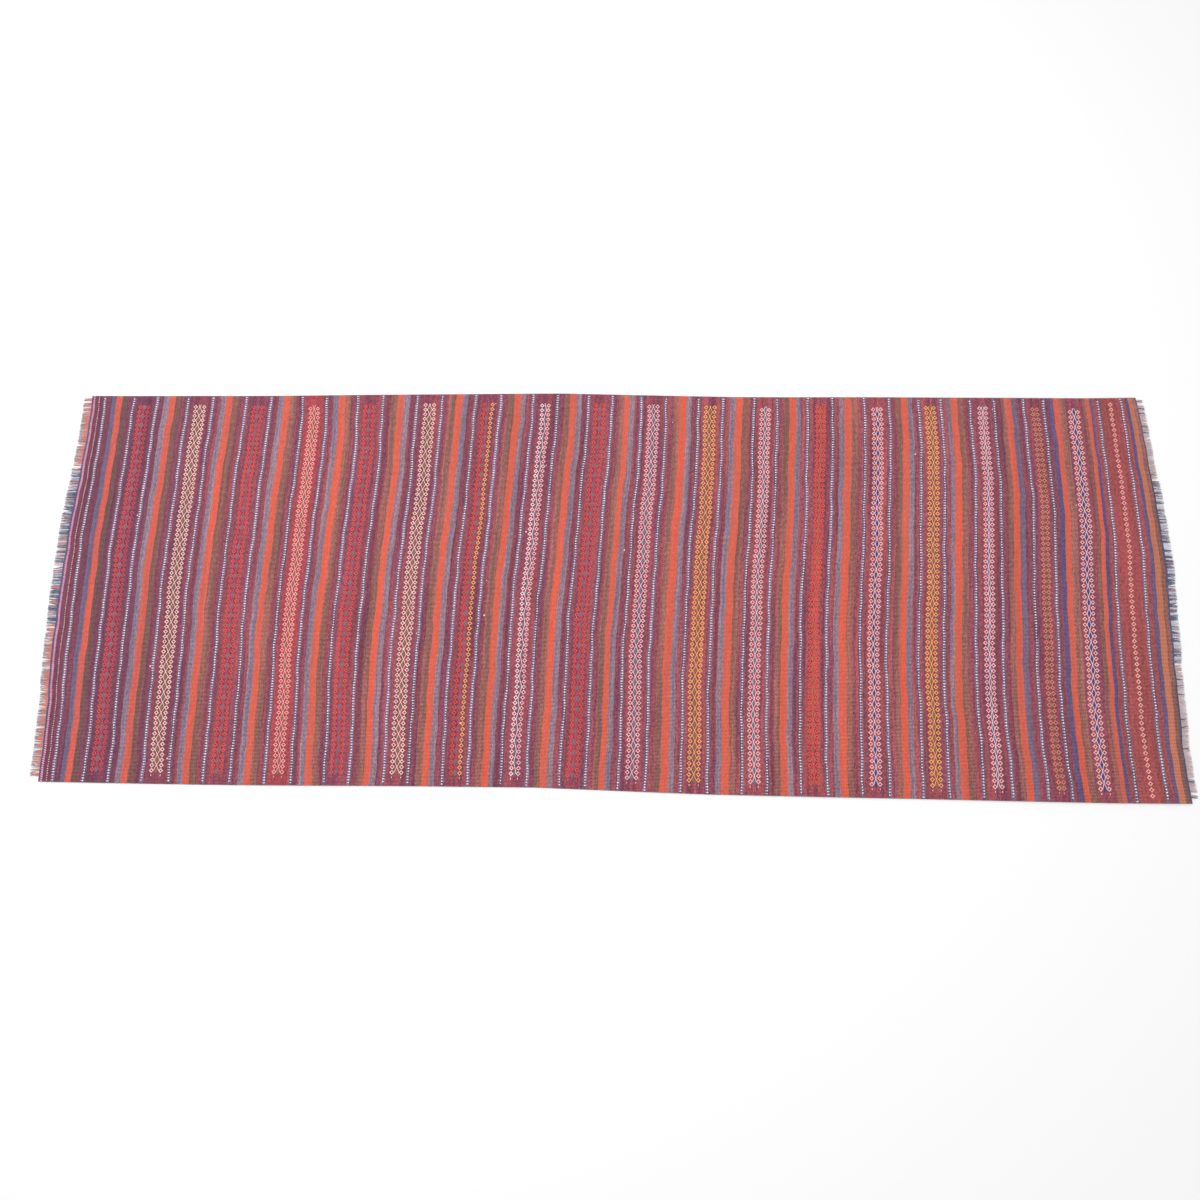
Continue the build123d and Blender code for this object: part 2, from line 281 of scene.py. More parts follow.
# Uneven spinning and dye: cycles to a metre along a pick and along the rug, and where each begins.
SPUN, DRIFTING = (150.0, 430.0, 3.1), (3.0, 120.0, 5.2)
FINE, BROAD, GRAIN = (14.0, 470.0), (1.7, 62.0, 7.7), (190.0, 260.0, 1.3)
HEATHER_START, HEATHER_BEFORE, HEATHER_AFTER, HEATHER_COVER = 0.62, 0.05, 0.12, 0.85
STITCH_STREAK = 0.3
TUFTS, PATCHES, STRANDS = 420.0, 24.0, 260.0           # of stitch yarn, to a metre
WARP_TUFTS, TWISTS = 600.0, 330.0
LINT_CELLS, LINT_SIZE, LINT_COVER = 24.0, 0.05, 0.85
LINT_COLOUR = (0.82, 0.68, 0.70, 1.0)
PICK_BUMP, TWIST_BUMP = 0.0003, 0.0002                # depths in metres
CLOTH_SHEEN, YARN_SHEEN = 0.12, 0.15

RED_BAND = 4                 # the ground band that is red under its brocade
RED_MARGIN = 0.011           # how far that red goes past the brocade
SHARP_ANGLE = radians(55)
EDGE_TURNS = (25.0, 55.0, 90.0)       # degrees round the edge where the wefts turn

# A flower's petals, then its knots, along the pick and along the rug in petal reaches.
FLOWER = [(1, 1), (1, -1), (-1, 1), (-1, -1), (2, 0), (-2, 0), (0, 2), (0, -2)]
# How a beaded line's doubled stretches repeat along the rug and, between limits, across it.
DOUBLING, DOUBLING_SLANTS = 0.43, (0.35, 0.7)
SIDE_PLACE, SIDE_SIZE = 0.33, 0.85    # of an outer bead, in line widths and in beads
LINE_RISE = 0.0002           # crossing lines over the ground
LOZENGE_SHARE = 1.4          # length of a lozenge in flower pitches
TWINE_SLANT = radians(60)
TWINE_MARGIN, BEAD_MARGIN, ROW_MARGIN = 0.002, 0.004, 0.006    # kept clear at the long edges

# The sections of warp: the yarn and the piece's name.
WARP_SECTIONS = {
    "selvedge_warp_near": ("salmon", "near_selvedge_warps"),
    "warp_near": ("salmon", "near_warps"),
    "warp_middle": ("dark", "middle_warps"),
    "warp_far": ("salmon", "far_warps"),
    "selvedge_warp_far": ("salmon", "far_selvedge_warps"),
}
SECTION_END = 0.09           # length of a section that tells its span at an end
RUN_POINTS = 25
# A hair's points as shares of its length, from inside the cloth, and its taper there.
HAIR_STEPS = np.array([-0.35, 0.0, 0.3, 0.6, 0.85, 1.0])
HAIR_TAPER = np.array([1, 1, 1, 0.9, 0.8, 0.45])
HAIR_OUT = np.clip(HAIR_STEPS, 0, 1)
HAIR_DROP = np.clip(HAIR_STEPS * 2.2, 0, 1)
HAIR_FADE = np.clip(HAIR_STEPS * 1.3 - 0.15, 0, 1)
HAIR_LENGTHS = (0.92, 1.03)
HAIR_SPREAD, CLUMP_PULL = 0.3, 0.10   # in warp pitches
CLUMP_SWING, HAIR_SWING = 0.05, 0.06  # radians
HAIR_WAVE, HAIR_RISE = 0.0007, 0.0012

FLOOR_REACH, FLOOR_LEVEL = 9.0, -0.0002
KEY_SIZE, KEY_PLACE = (3.2, 2.2), (-0.9, 0.8, 2.9)
KEY_TILT = (radians(-15), radians(-17), 0.0)


def waves(table, x, y):
    """The sum of a table's waves at x, y, from -1 to 1."""
    return sum(share * np.sin(2 * pi * (x / along + y / over) + start)
               for share, along, over, start in table)


def lift(x, y):
    """How far the underside lies off the floor at x, y."""
    return bpy.context.scene.rug_cloth.wave_height * (0.5 + 0.5 * waves(LIFTS, x, y))


# ---- the frame's picks ----
def welded(node):
    """Points and triangles of a CAD node, with doubles merged."""
    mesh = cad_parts[node].data
    points = np.empty(len(mesh.vertices) * 3)
    mesh.vertices.foreach_get("co", points)
    corners = np.empty(len(mesh.loops), dtype=np.int64)
    mesh.loops.foreach_get("vertex_index", corners)
    keys = np.round(points.reshape(-1, 3) * 1e6).astype(np.int64)
    unique, merged = np.unique(keys, axis=0, return_inverse=True)
    return unique / 1e6, merged.reshape(-1)[corners].reshape(-1, 3)


def loose_parts(triangles, count):
    """A number for each point, the same all over a loose part."""
    labels = np.arange(count)
    while True:
        lowest = labels[triangles].min(axis=1)
        updated = labels.copy()
        np.minimum.at(updated, triangles.ravel(), np.repeat(lowest, 3))
        updated = updated[updated]
        if (updated == labels).all():
            return labels
        labels = updated


class Strip:
    """The cloth between two picks of the frame, each a curve of y and x."""

    def __init__(self, left, right):
        self.left, self.right = left, right

    def place(self, across, along):
        """X and Y at shares across the rug, -1 to 1, and along the strip, 0 to 1."""
        sides = []
        for curve in (self.left, self.right):
            near, far = curve[0, 0], curve[-1, 0]
            y = (near + far) / 2 + across * (far - near) / 2
            sides.append((np.interp(y, curve[:, 0], curve[:, 1]), y))
        (left_x, left_y), (right_x, right_y) = sides
        x = left_x + (right_x - left_x) * along
        y = left_y + (right_y - left_y) * along
        x = x + bpy.context.scene.rug_cloth.pick_wander * waves(STRAYS, x, y)
        return x, y

    def middle(self):
        """X of both picks at the middle of the rug."""
        return [float(np.interp((c[0, 0] + c[-1, 0]) / 2, c[:, 0], c[:, 1]))
                for c in (self.left, self.right)]

    def width(self):
        left, right = self.middle()
        return right - left

    def half(self):
        """Half of the strip's length across the rug."""
        return (self.left[-1, 0] - self.left[0, 0]) / 2


def strips(node):
    """The strips that a CAD node's solids cover, from left to right."""
    points, triangles = welded(node)
    labels = loose_parts(triangles, len(points))
    a, b, c = (points[triangles[:, i]] for i in range(3))
    normals = np.cross(b - a, c - a)
    normals /= np.maximum(np.linalg.norm(normals, axis=1, keepdims=True), 1e-15)
    lowest = points[:, 2].min()
    found = []
    for label in np.unique(labels[triangles[:, 0]]):
        mine = labels[triangles[:, 0]] == label
        curves = []
        for facing in (-1, 1):
            side = triangles[mine & (normals[:, 0] * facing > 0.5)]
            ends = points[np.unique(side)]
            floor_level = ends[ends[:, 2] < lowest + 1e-5]
            curve = floor_level[:, [1, 0]]
            curves.append(curve[np.argsort(curve[:, 0])])
        found.append(Strip(*curves))
    return sorted(found, key=lambda strip: strip.middle()[0])


# ---- meshes ----
def new_object(name, mesh):
    """An object for a finished mesh, in the scene."""
    made = bpy.data.objects.new(name, mesh)
    bpy.context.scene.collection.objects.link(made)
    return made


def finish_piece(piece, node, stands=True):
    """Says what a piece rides on, and whether it stands for that CAD node."""
    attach(piece, ROOT)
    if stands:
        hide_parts(node)


def quad_mesh(name, points, quads, weave, zones, materials):
    """A mesh of quads with its weave UV map and a material number for each quad."""
    mesh = bpy.data.meshes.new(name)
    mesh.vertices.add(len(points))
    mesh.vertices.foreach_set("co", points.astype(np.float32).ravel())
    mesh.loops.add(quads.size)
    mesh.loops.foreach_set("vertex_index", quads.astype(np.int32).ravel())
    mesh.polygons.add(len(quads))
    mesh.polygons.foreach_set("loop_start", np.arange(len(quads), dtype=np.int32) * 4)
    for material in materials:
        mesh.materials.append(material)
    mesh.polygons.foreach_set("material_index", zones.astype(np.int32))
    mesh.update(calc_edges=True)
    layer = mesh.uv_layers.new(name=WEAVE)
    layer.data.foreach_set("uv", weave[quads.ravel()].astype(np.float32).ravel())
    mesh.polygons.foreach_set("use_smooth", np.ones(len(quads), dtype=bool))
    mesh.set_sharp_from_angle(angle=SHARP_ANGLE)
    return mesh


def rib_columns(half):
    """Places on a pick, two to each warp rib, and closer where the wefts turn at the edges."""
    cloth = bpy.context.scene.rug_cloth
    step = cloth.warp_pitch / 2
    inner = half - cloth.edge_round
    count = int(inner / step)
    ribs = np.arange(-count, count + 1) * step
    turn = half - cloth.edge_round * (1 - np.sin(np.radians(EDGE_TURNS)))
    return np.concatenate([-turn[::-1], ribs, turn])


def slab(strip, zones=((0.0, 1.0, 0),), low=0.0, high=CLOTH_THICKNESS):
    """Points, quads, weave places and material numbers of a strip of cloth.

    A zone is its start and end as shares along the strip, and its material number. low and high
    are the strip's underside and face over the lift."""
    cloth = bpy.context.scene.rug_cloth
    half = strip.half()
    columns = rib_columns(half)
    rows, numbers = [0.0], []
    for start, end, number in zones:
        count = max(1, round((end - start) * strip.width() / cloth.row_length))
        rows.extend(start + (end - start) * np.arange(1, count + 1) / count)
        numbers.extend([number] * count)
    rows = np.array(rows)
    along, across = np.meshgrid(rows, columns / half, indexing="ij")
    x, y = strip.place(across, along)
    rib = 0.5 - 0.5 * np.cos(2 * pi * across * half / cloth.warp_pitch)
    seam = np.zeros_like(along)
    seam[[0, -1], :] = cloth.seam_depth * (high == CLOTH_THICKNESS)
    edge = np.clip((half - np.abs(columns)) / cloth.edge_round, 0.0, 1.0)
    round_off = np.sqrt(1 - (1 - edge) ** 2) * 0.85 + 0.15
    middle = lift(x, y) + CLOTH_THICKNESS / 2
    top = middle + (high - CLOTH_THICKNESS / 2 - rib * cloth.rib_height - seam) * round_off
    under = low + (rib * cloth.rib_height + seam) * (low == 0.0)
    bottom = middle + (under - CLOTH_THICKNESS / 2) * round_off
    sheet = x.size
    points = np.concatenate([np.stack([x, y, top], -1).reshape(-1, 3),
                             np.stack([x, y, bottom], -1).reshape(-1, 3)])
    left, right = strip.middle()
    place = np.stack([across * half, left + (right - left) * along], -1).reshape(-1, 2)
    weave = np.concatenate([place, place])
    index = np.arange(sheet).reshape(x.shape)

    def faces(a, b, c, d):
        return np.stack([a.ravel(), b.ravel(), c.ravel(), d.ravel()], -1)

    def edges(line, outward):
        first, second = (line[:-1], line[1:]) if outward else (line[1:], line[:-1])
        return faces(first, second, second + sheet, first + sheet)

    top_quads = faces(index[:-1, :-1], index[1:, :-1], index[1:, 1:], index[:-1, 1:])
    quads = np.concatenate([
        top_quads, top_quads[:, ::-1] + sheet,
        edges(index[0], True), edges(index[-1], False),
        edges(index[:, 0], False), edges(index[:, -1], True)])
    by_row = np.repeat(numbers, len(columns) - 1)
    ends = [np.full(len(columns) - 1, numbers[0]), np.full(len(columns) - 1, numbers[-1])]
    material_numbers = np.concatenate([by_row, by_row, *ends, numbers, numbers])
    return points, quads, weave, material_numbers


def cloth_piece(name, slabs, materials):
    """One object from one or more slabs."""
    points, quads, weave, zones, base = [], [], [], [], 0
    for part in slabs:
        points.append(part[0])
        quads.append(part[1] + base)
        weave.append(part[2])
        zones.append(part[3])
        base += len(part[0])
    mesh = quad_mesh(name, np.concatenate(points), np.concatenate(quads), np.concatenate(weave),
                     np.concatenate(zones), materials)
    return new_object(name, mesh)


# ---- node trees ----
def add_node(tree, kind, inputs=(), **settings):
    """Adds a node, and sets or links its inputs by name or number."""
    made = tree.nodes.new(kind)
    for name, value in settings.items():
        setattr(made, name, value)
    for name, value in dict(inputs).items():
        if isinstance(value, bpy.types.NodeSocket):
            tree.links.new(value, made.inputs[name])
        else:
            made.inputs[name].default_value = value
    return made


def result(tree, kind, inputs=(), **settings):
    """The first output of a new node."""
    return add_node(tree, kind, inputs, **settings).outputs[0]


def math(tree, operation, first, second=0.0, clamp=False):
    return result(tree, "ShaderNodeMath", {0: first, 1: second}, operation=operation,
                  use_clamp=clamp)


def product(tree, first, *others):
    """Values multiplied together."""
    for other in others:
        first = math(tree, "MULTIPLY", first, other)
    return first


def total(tree, first, *others):
    """Values added together."""
    for other in others:
        first = math(tree, "ADD", first, other)
    return first


def linear(colour):
    """A display colour as the light that it stands for."""
    shades = np.array(colour[:3])
    light = np.where(shades <= 0.04045, shades / 12.92, ((shades + 0.055) / 1.055) ** 2.4)
    return (*light, 1.0)


def yarn_colour(tree, v, stops):
    """The yarn's colour, which may change along the rug, at stops of X and a colour."""
    (first, colour), last = stops[0], stops[-1][0]
    if len(stops) == 1:
        return linear(colour)
    where = math(tree, "DIVIDE", math(tree, "SUBTRACT", v, first), last - first, clamp=True)
    ramp = add_node(tree, "ShaderNodeValToRGB", {0: where})
    elements = ramp.color_ramp.elements
    elements.remove(elements[0])
    elements[0].position, elements[0].color = 0.0, linear(colour)
    for place, colour in stops[1:]:
        elements.new((place - first) / (last - first)).color = linear(colour)
    return ramp.outputs["Color"]


def noise(tree, vector, scale, detail=1.0, rough=0.5):
    return result(tree, "ShaderNodeTexNoise", {
        "Vector": vector, "Scale": scale, "Detail": detail, "Roughness": rough})


def centred(tree, value, amount):
    """A noise value as a share round 1."""
    return total(tree, product(tree, math(tree, "SUBTRACT", value, 0.5), amount), 1.0)


def mixed(tree, share, first, second):
    """A share of the second colour over the first."""
    return add_node(tree, "ShaderNodeMix", {0: share, 6: first, 7: second},
                    data_type="RGBA").outputs[2]


def scaled(tree, colour, value):
    """A colour made lighter or darker by a value."""
    if not isinstance(colour, bpy.types.NodeSocket):
        colour = colour[:3]
    return result(tree, "ShaderNodeVectorMath", {0: colour, "Scale": value}, operation="SCALE")


def bumped(tree, height, strength, depth):
    return result(tree, "ShaderNodeBump", {
        "Strength": strength, "Distance": depth, "Height": height})


def wool_shader(tree, colour, normal, sheen):
    """The soft, matt surface of wool."""
    shader = add_node(tree, "ShaderNodeBsdfPrincipled", {
        "Base Color": colour, "Normal": normal, "Roughness": 0.92, "Specular IOR Level": 0.18,
        "Sheen Weight": sheen, "Sheen Roughness": 0.6})
    add_node(tree, "ShaderNodeOutputMaterial", {"Surface": shader.outputs[0]})


def new_material(name):
    material = bpy.data.materials.new(name)
    material.use_nodes = True
    material.node_tree.nodes.clear()
    return material


def cloth_material(name, stops, heather=None, heather_share=0.25, streak=0.7, abrash=0.5,
                   speckle=1.6, valley_shade=0.6, lint=0.0):
    """Weft-faced wool cloth: dyed picks, their streaks along the picks, and ribs over the warps
    with painted shade in their valleys.

    stops are X along the rug and the yarn's colour there. heather is a second shade spun into
    the yarn, and lint is the share of pale knots."""
    sizes = bpy.context.scene.rug_cloth
    material = new_material(name)
    tree = material.node_tree
    place = result(tree, "ShaderNodeUVMap", uv_map=WEAVE)
    u, v, _ = add_node(tree, "ShaderNodeSeparateXYZ", {0: place}).outputs

    def stretched(along_pick, along_rug, start=0.0):
        return result(tree, "ShaderNodeCombineXYZ", {
            0: product(tree, u, along_pick), 1: product(tree, v, along_rug), 2: start})

    def uneven(pattern, rough=0.5):
        return noise(tree, stretched(*pattern), 1.0, 2.0, rough)

    colour = yarn_colour(tree, v, stops)
    if heather is not None:
        spun = total(tree, product(tree, uneven(SPUN), 0.5), product(tree, uneven(DRIFTING), 0.5))
        low = HEATHER_START - heather_share / 2
        cover = add_node(tree, "ShaderNodeMapRange", {
            0: spun, 1: low - HEATHER_BEFORE, 2: low + HEATHER_AFTER, 3: 0.0, 4: HEATHER_COVER})
        colour = mixed(tree, cover.outputs[0], colour, linear(heather))
    grain = uneven(GRAIN, 0.7)
    # Painted shade: the colour is darkened in the valleys between the warp ribs, as if shaded
    # there.
    rib = math(tree, "COSINE", product(tree, u, 2 * pi / sizes.warp_pitch))
    value = product(tree, centred(tree, uneven(FINE), streak), centred(tree, uneven(BROAD), abrash),
                    centred(tree, grain, speckle),
                    total(tree, product(tree, rib, valley_shade / 2), 1.0 - valley_shade / 2),
                    sizes.pile_depth)
    colour = scaled(tree, colour, value)
    if lint > 0.0:
        cells = add_node(tree, "ShaderNodeTexVoronoi", {
            "Vector": stretched(LINT_CELLS, LINT_CELLS), "Scale": 1.0})
        chosen = add_node(tree, "ShaderNodeSeparateColor", {0: cells.outputs["Color"]})
        knot = product(tree, math(tree, "GREATER_THAN", chosen.outputs[0], 1.0 - lint),
                       math(tree, "LESS_THAN", cells.outputs["Distance"], LINT_SIZE), LINT_COVER)
        colour = mixed(tree, knot, colour, LINT_COLOUR)

    # Each pick goes over every other warp, so its bumps step by one warp from pick to pick.
    warp = math(tree, "ROUND", math(tree, "DIVIDE", u, sizes.warp_pitch))
    turn = total(tree, product(tree, v, pi / sizes.pick_pitch), product(tree, warp, pi))
    height = total(tree, product(tree, math(tree, "COSINE", turn), 0.5), 0.5,
                   product(tree, grain, 0.7))
    wool_shader(tree, colour, bumped(tree, height, 0.45, PICK_BUMP), CLOTH_SHEEN)
    return material


def stitch_material(name, dye):
    """Loosely laid yarn on the face of the cloth, with its twist and uneven dye."""
    material = new_material(name)
    tree = material.node_tree
    place = add_node(tree, "ShaderNodeTexCoord").outputs["Object"]
    tuft = noise(tree, place, TUFTS, 2.0, 0.6)
    value = product(tree, centred(tree, tuft, STITCH_STREAK),
                    centred(tree, noise(tree, place, PATCHES), STITCH_STREAK),
                    bpy.context.scene.rug_cloth.pile_depth)
    strands = add_node(tree, "ShaderNodeTexWave", {"Vector": place, "Scale": STRANDS,
                                                   "Distortion": 2.0}, bands_direction="X")
    normal = bumped(tree, total(tree, strands.outputs[1], tuft), 0.4, PICK_BUMP)
    wool_shader(tree, scaled(tree, linear(dye), value), normal, YARN_SHEEN)
    return material


def warp_material(name):
    """Spun warp yarn in the colour that each thread carries."""
    material = new_material(name)
    tree = material.node_tree
    place = add_node(tree, "ShaderNodeTexCoord").outputs["Object"]
    dye = add_node(tree, "ShaderNodeAttribute", attribute_name=DYE,
                   attribute_type="GEOMETRY").outputs["Color"]
    colour = scaled(tree, dye, centred(tree, noise(tree, place, WARP_TUFTS, 2.0, 0.6), 0.5))
    twist = add_node(tree, "ShaderNodeTexWave", {"Vector": place, "Scale": TWISTS,
                                                 "Distortion": 3.0}, bands_direction="DIAGONAL")
    wool_shader(tree, colour, bumped(tree, twist.outputs[1], 0.5, TWIST_BUMP), YARN_SHEEN)
    return material


def wool(name):
    """The cloth of this name in the table of cloths, made once."""
    known = bpy.data.materials.get(name)
    if known:
        return known
    lots, heather, unevenness = CLOTHS[name]
    dyes = bpy.context.scene.rug_yarns
    stops = [(x, getattr(dyes, yarn)) for x, yarn in lots]
    return cloth_material(name, stops, heather and getattr(dyes, heather), **unevenness)


def stitch_wool(name, yarn):
    """Yarn to stitch with, made once."""
    known = bpy.data.materials.get(name)
    return known or stitch_material(name, getattr(bpy.context.scene.rug_yarns, yarn))


# ---- geometry node trees ----
MATERIAL_SOCKETS = ("Yarn 1", "Yarn 2", "Yarn 3", "Yarn 4")
LEFT, RIGHT, LINES, LOZENGES = 0.0, 1.0, 2.0, 3.0      # numbers of a guide's yarns


def new_tree(name, inputs):
    """A tree of geometry nodes with named inputs, and the sockets that give them."""
    tree = bpy.data.node_groups.new(name, "GeometryNodeTree")
    for label, kind, default in (("Geometry", "Geometry", None), *inputs):
        socket = tree.interface.new_socket(label, in_out="INPUT", socket_type=f"NodeSocket{kind}")
        if default is not None:
            socket.default_value = default
    tree.interface.new_socket("Geometry", in_out="OUTPUT", socket_type="NodeSocketGeometry")
    return tree, add_node(tree, "NodeGroupInput").outputs


def named(tree, name, kind):
    """A point's own attribute."""
    return result(tree, "GeometryNodeInputNamedAttribute", {"Name": name}, data_type=kind)


def yarn_switches(tree, geometry, source):
    """Sets the material of each part by its yarn number."""
    number = named(tree, "yarn", "FLOAT")
    for index, socket in enumerate(MATERIAL_SOCKETS):
        mine = result(tree, "FunctionNodeCompare", {0: number, 1: float(index), "Epsilon": 0.4},
                      data_type="FLOAT", operation="EQUAL")
        geometry = result(tree, "GeometryNodeSetMaterial", {
            0: geometry, 1: mine, 2: source[socket]})
    return geometry


def stitch_tree():
    """Geometry nodes: a pad of yarn on each loose point, and a laid yarn along each line."""
    yarns = [(name, "Material", None) for name in MATERIAL_SOCKETS]
    tree, source = new_tree("Stitches", [
        ("Pad Sides", "Int", 4), ("Pad Rings", "Int", 3), ("Line Width", "Float", 0.002),
        ("Line Height", "Float", 0.001), ("Unevenness", "Float", 0.15), ("Seed", "Int", 1), *yarns])
    is_line = result(tree, "FunctionNodeCompare", {0: named(tree, "line", "FLOAT"), 1: 0.5},
                     data_type="FLOAT", operation="GREATER_THAN")
    split = add_node(tree, "GeometryNodeSeparateGeometry", {
        0: source["Geometry"], 1: is_line}, domain="POINT")

    pad = result(tree, "GeometryNodeMeshUVSphere", {
        0: source["Pad Sides"], 1: source["Pad Rings"], 2: 0.5})
    turn = result(tree, "ShaderNodeCombineXYZ", {2: named(tree, "turn", "FLOAT")})
    facing = result(tree, "FunctionNodeEulerToRotation", {0: turn})
    spread = source["Unevenness"]
    uneven = add_node(tree, "FunctionNodeRandomValue", {
        2: math(tree, "SUBTRACT", 1.0, spread), 3: math(tree, "ADD", 1.0, spread),
        "Seed": source["Seed"]}, data_type="FLOAT").outputs[1]
    size = result(tree, "ShaderNodeVectorMath", {
        0: named(tree, "size", "FLOAT_VECTOR"), "Scale": uneven}, operation="SCALE")
    pads = result(tree, "GeometryNodeInstanceOnPoints", {
        "Points": split.outputs[1], "Instance": pad, "Rotation": facing, "Scale": size})

    ring = add_node(tree, "GeometryNodeCurvePrimitiveCircle", {"Resolution": 5, "Radius": 0.5})
    flat = result(tree, "ShaderNodeCombineXYZ", {
        0: source["Line Width"], 1: source["Line Height"], 2: 1.0})
    section = result(tree, "GeometryNodeTransform", {0: ring.outputs[0], "Scale": flat})
    lines = result(tree, "GeometryNodeMeshToCurve", {0: split.outputs[0]})
    lines = result(tree, "GeometryNodeSetCurveNormal", {0: lines})
    tubes = add_node(tree, "GeometryNodeCurveToMesh", {0: lines, 1: section, "Fill Caps": True})
    joined = add_node(tree, "GeometryNodeJoinGeometry")
    tree.links.new(tubes.outputs[0], joined.inputs[0])
    tree.links.new(pads, joined.inputs[0])
    real = result(tree, "GeometryNodeRealizeInstances", {0: joined.outputs[0]})
    smooth = result(tree, "GeometryNodeSetShadeSmooth", {0: real})
    dyed = yarn_switches(tree, smooth, source)
    add_node(tree, "NodeGroupOutput", {0: dyed})
    return tree


def warp_tree():
    """Geometry nodes: a round thread along each line, as thick as its points say."""
    tree, source = new_tree("Threads", [("Sides", "Int", 4), ("Yarn", "Material", None)])
    lines = result(tree, "GeometryNodeMeshToCurve", {0: source["Geometry"]})
    ring = add_node(tree, "GeometryNodeCurvePrimitiveCircle", {
        "Resolution": source["Sides"], "Radius": 0.5})
    tubes = add_node(tree, "GeometryNodeCurveToMesh", {
        0: lines, 1: ring.outputs[0], "Scale": named(tree, "thick", "FLOAT"), "Fill Caps": True})
    smooth = result(tree, "GeometryNodeSetShadeSmooth", {0: tubes.outputs[0]})
    real = result(tree, "GeometryNodeRealizeInstances", {0: smooth})
    dyed = add_node(tree, "GeometryNodeSetMaterial", {0: real, 2: source["Yarn"]})
    add_node(tree, "NodeGroupOutput", {0: dyed.outputs[0]})
    return tree


def worked(name, points, edges, attributes, tree, inputs):
    """An object from a guide of points and edges, worked by a tree of geometry nodes."""
    guide = bpy.data.meshes.new(f"{name}_guide")
    guide.from_pydata([tuple(point) for point in points], [tuple(edge) for edge in edges], [])
    for label, (kind, values) in attributes.items():
        layer = guide.attributes.new(label, kind, "POINT")
        key = {"FLOAT": "value", "FLOAT_VECTOR": "vector", "FLOAT_COLOR": "color"}[kind]
        layer.data.foreach_set(key, np.asarray(values, dtype=np.float32).ravel())
    carrier = new_object(f"{name}_guide", guide)
    modifier = carrier.modifiers.new("Work", "NODES")
    modifier.node_group = tree
    for item in tree.interface.items_tree:
        if item.in_out == "INPUT" and item.name in inputs:
            modifier[item.identifier] = inputs[item.name]
    carrier.update_tag()
    worked_out = carrier.evaluated_get(bpy.context.evaluated_depsgraph_get())
    mesh = bpy.data.meshes.new_from_object(worked_out)
    mesh.name = name
    bpy.data.objects.remove(carrier)
    for label in ("turn", "size", "yarn", "line", "thick"):
        if label in mesh.attributes:
            mesh.attributes.remove(mesh.attributes[label])
    return new_object(name, mesh)


class Guide:
    """Points and lines that stitches are worked on."""

    def __init__(self):
        self.points, self.edges = [], []
        self.turn, self.size, self.yarn, self.line = [], [], [], []

    def pads(self, x, y, z, turn, size, yarn):
        """A pad on each of these points, size along the picks, along the rug and upwards."""
        count = len(x)
        self.points.extend(zip(x, y, z))
        self.turn.extend(np.broadcast_to(turn, count))
        self.size.extend([size] * count)
        self.yarn.extend([yarn] * count)
        self.line.extend([0.0] * count)

    def laid(self, x, y, z, yarn):
        """A laid yarn through these points."""
        start, count = len(self.points), len(x)
        self.points.extend(zip(x, y, z))
        self.edges.extend((start + i, start + i + 1) for i in range(count - 1))
        self.turn.extend([0.0] * count)
        self.size.extend([(1.0, 1.0, 1.0)] * count)
        self.yarn.extend([yarn] * count)
        self.line.extend([1.0] * count)

    def work(self, name, tree, inputs):
        attributes = {"turn": ("FLOAT", self.turn), "size": ("FLOAT_VECTOR", self.size),
                      "yarn": ("FLOAT", self.yarn), "line": ("FLOAT", self.line)}
        return worked(name, self.points, self.edges, attributes, tree, inputs)


def pick_places(strip, y_from, y_to, pitch, shift=0.0, offset=0.0):
    """Points at a pitch along a strip's middle pick, with the direction of the pick at each."""
    half = strip.half()
    y = np.arange(y_from + shift, y_to, pitch)
    x, y_real = strip.place(y / half, 0.5)
    ahead_x, ahead_y = strip.place((y + 0.004) / half, 0.5)
    turn = np.arctan2(ahead_y - y_real, ahead_x - x)
    x = x + offset
    return x, y_real, lift(x, y_real) + CLOTH_THICKNESS, turn


# ---- making pieces ----
def weave(name, node, cloth, **faces):
    """A piece of cloth over all the strips of a CAD node, which it stands for."""
    piece = cloth_piece(name, [slab(strip, **faces) for strip in strips(node)], [wool(cloth)])
    finish_piece(piece, node)


def stitch(guide, name, node, sides, uneven, wools, rings=3, seed=0, stands=False):
    """Works a guide into a piece of stitches that goes with a CAD node."""
    stitches = bpy.context.scene.rug_stitches
    tree = bpy.data.node_groups.get("Stitches") or stitch_tree()
    piece = guide.work(name, tree, {
        "Pad Sides": sides, "Pad Rings": rings, "Line Width": stitches.line_width,
        "Line Height": stitches.stitch_height, "Unevenness": uneven,
        "Seed": stitches.seed + seed, **dict(zip(MATERIAL_SOCKETS, wools))})
    finish_piece(piece, node, stands)


def flower_pitch(share):
    """The brocades' pitch at a share of the way from the first to the last, because the warps
    spread a little towards the right end."""
    pitches = [row[4] for row in BROCADES]
    return float(np.interp(share, np.linspace(0, 1, len(pitches)), pitches)) * MILLIMETRE


def flowers(guide, strip, y_from, y_to, pitch, offset, yarn):
    """A row of flowers, each a diamond of petals that shows the ground in its middle, with a
    knot on each of its points."""
    stitches = bpy.context.scene.rug_stitches
    x, y, z, turn = pick_places(strip, y_from, y_to, pitch, offset=offset)
    side = (stitches.petal_length, stitches.petal_width, stitches.stitch_height)
    knot = (stitches.knot_size, stitches.knot_size, stitches.stitch_height)
    reach = stitches.petal_reach
    for along_pick, along_rug in FLOWER:
        px = x + reach * (along_rug * np.sin(turn) + along_pick * np.cos(turn))
        py = y + reach * (along_pick * np.sin(turn) - along_rug * np.cos(turn))
        slant = radians(45) * along_pick * along_rug
        guide.pads(px, py, z, turn + slant, side if slant else knot, yarn)


